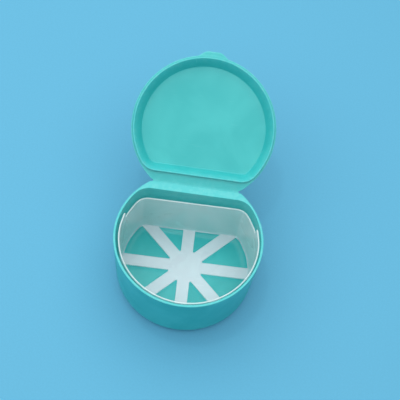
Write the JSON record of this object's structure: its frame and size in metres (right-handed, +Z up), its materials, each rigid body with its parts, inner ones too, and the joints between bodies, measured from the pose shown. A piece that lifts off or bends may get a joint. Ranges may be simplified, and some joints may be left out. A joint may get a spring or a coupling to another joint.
{
  "type": "denture case",
  "caption": "Round case for dentures: cup with a flat-backed hollow, lid on a bending film hinge, and a lift-out strainer basket with a spoked floor",
  "frame": {"origin": "on the table under the middle of the cup's round rim", "axes": "+Z up, +Y from the middle back over the hinge, +X to the right when the case is seen from its front"},
  "size_m": [0.085, 0.1441, 0.0824],
  "materials": {
    "case_plastic": "satin",
    "basket_plastic": "translucent, softly glossy"
  },
  "bodies": {
    "cup": {"cup": "case_plastic", "living_hinge": "case_plastic"},
    "lid": {"lid": "case_plastic"},
    "basket": {"strainer_basket": "basket_plastic"}
  },
  "joints": [
    {"name": "lid_hinge", "type": "hinge", "parent": "cup", "child": "lid", "pos_m": [0, 0.0338, 0.0423], "axis": [1, 0, 0], "range_deg": [-31, 149], "deforming": ["living_hinge"]},
    {"name": "basket_lift", "type": "slide", "parent": "cup", "child": "basket", "axis": [0, 0, 1], "range_m": [0, 0.06]}
  ]
}
